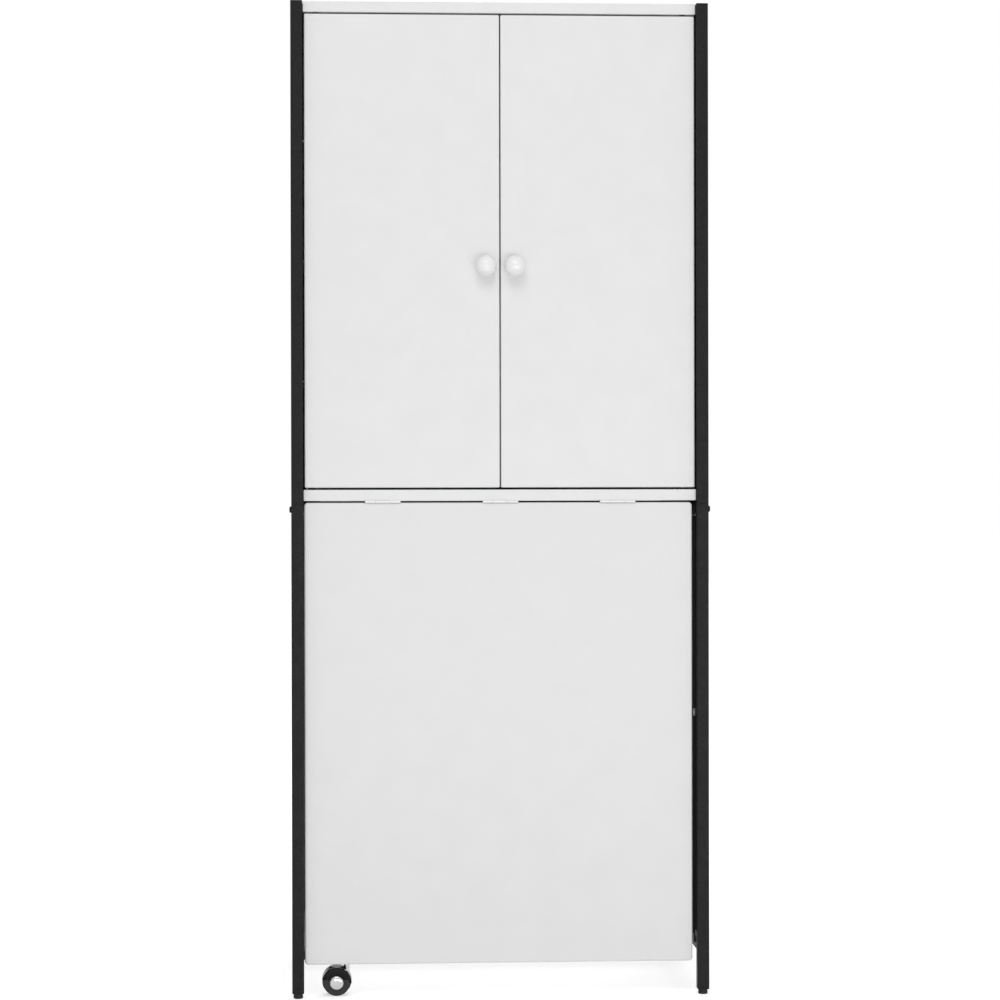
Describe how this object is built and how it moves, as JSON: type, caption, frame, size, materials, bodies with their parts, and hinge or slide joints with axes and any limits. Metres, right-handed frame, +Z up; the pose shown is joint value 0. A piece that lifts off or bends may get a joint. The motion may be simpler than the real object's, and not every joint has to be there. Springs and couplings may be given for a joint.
{
  "type": "sewing armoire",
  "caption": "Tall white sewing cupboard on a black square-tube frame, with hinged upper doors, a drop-leaf work table below and a caster-footed gate leg behind the leaf.",
  "frame": {"origin": "middle of the footprint on the floor, with the knobs counted in its depth", "axes": "+Z up, front towards -Y, +X to the right as seen from the front"},
  "size_m": [0.7168, 0.428, 1.69],
  "materials": {
    "black_steel": "fine-textured charcoal black powder coat, matt",
    "white_board": "white melamine-faced board, satin",
    "back_board": "white-faced hardboard, satin",
    "white_enamel": "white enamelled steel, satin",
    "white_knob": "glossy white",
    "zinc_steel": "bright zinc plate",
    "black_plastic": "matt black",
    "white_plastic": "matt white nylon",
    "caster_black": "glossy black",
    "chrome": "polished chrome"
  },
  "bodies": {
    "cabinet": {"left_upper_frame": "black_steel", "right_upper_frame": "black_steel", "left_lower_frame": "black_steel", "right_lower_frame": "black_steel", "post_connectors": "zinc_steel", "joint_bolts": "black_steel", "foot_glides": "black_plastic", "rear_lower_crossbar": "black_steel", "rear_upper_crossbar": "black_steel", "front_crossbar": "black_steel", "crossbar_bolts": "black_steel", "top_board": "white_board", "table_board": "white_board", "board_screws": "zinc_steel", "left_side_panel": "white_board", "right_side_panel": "white_board", "shelf_pegs": "zinc_steel", "back_panel": "back_board", "back_panel_screws": "zinc_steel", "lower_shelf": "white_board", "middle_shelf": "white_board", "upper_shelf": "white_board", "door_pivot_bushes": "black_plastic", "door_catches": "white_plastic", "upper_hinge_plates": "white_enamel", "leaf_hinge_pins": "zinc_steel", "upper_hinge_screws": "white_enamel", "gate_brackets": "black_steel", "gate_pins": "zinc_steel"},
    "left_door": {"left_door_panel": "white_board", "left_door_pivots": "zinc_steel", "left_knob": "white_knob", "left_knob_screw": "zinc_steel", "left_strike_plate": "zinc_steel"},
    "right_door": {"right_door_panel": "white_board", "right_door_pivots": "zinc_steel", "right_knob": "white_knob", "right_knob_screw": "zinc_steel", "right_strike_plate": "zinc_steel"},
    "leaf": {"leaf_panel": "white_board", "lower_hinge_plates": "white_enamel", "lower_hinge_screws": "white_enamel"},
    "gate": {"gate_frame": "black_steel", "gate_bushes": "black_plastic", "gate_stop": "zinc_steel", "leg_top_cap": "black_plastic", "caster_stem": "chrome", "caster_socket": "black_plastic"},
    "caster": {"caster_hood": "caster_black", "caster_axle": "zinc_steel"},
    "front_wheel": {"front_caster_wheel": "caster_black", "front_hub_cap": "chrome"},
    "rear_wheel": {"rear_caster_wheel": "caster_black", "rear_hub_cap": "chrome"}
  },
  "joints": [
    {"name": "left_door_hinge", "type": "hinge", "parent": "cabinet", "child": "left_door", "pos_m": [-0.3124, -0.167, 1.2675], "axis": [0, 0, -1], "range_deg": [0, 110]},
    {"name": "right_door_hinge", "type": "hinge", "parent": "cabinet", "child": "right_door", "pos_m": [0.3124, -0.167, 1.2675], "axis": [0, 0, 1], "range_deg": [0, 110]},
    {"name": "leaf_hinge", "type": "hinge", "parent": "cabinet", "child": "leaf", "pos_m": [0, -0.1783, 0.8415], "axis": [-1, 0, 0], "range_deg": [0, 90]},
    {"name": "gate_hinge", "type": "hinge", "parent": "cabinet", "child": "gate", "pos_m": [0.3285, -0.145, 0.461], "axis": [0, 0, 1], "range_deg": [-25, 0]},
    {"name": "caster_swivel", "type": "hinge", "parent": "gate", "child": "caster", "pos_m": [-0.263, -0.145, 0.038], "axis": [0, 0, 1], "continuous": true},
    {"name": "front_wheel_spin", "type": "hinge", "parent": "caster", "child": "front_wheel", "pos_m": [-0.28, -0.145, 0.0233], "axis": [0, 1, 0], "continuous": true},
    {"name": "rear_wheel_spin", "type": "hinge", "parent": "caster", "child": "rear_wheel", "pos_m": [-0.28, -0.145, 0.0233], "axis": [0, 1, 0], "continuous": true}
  ]
}
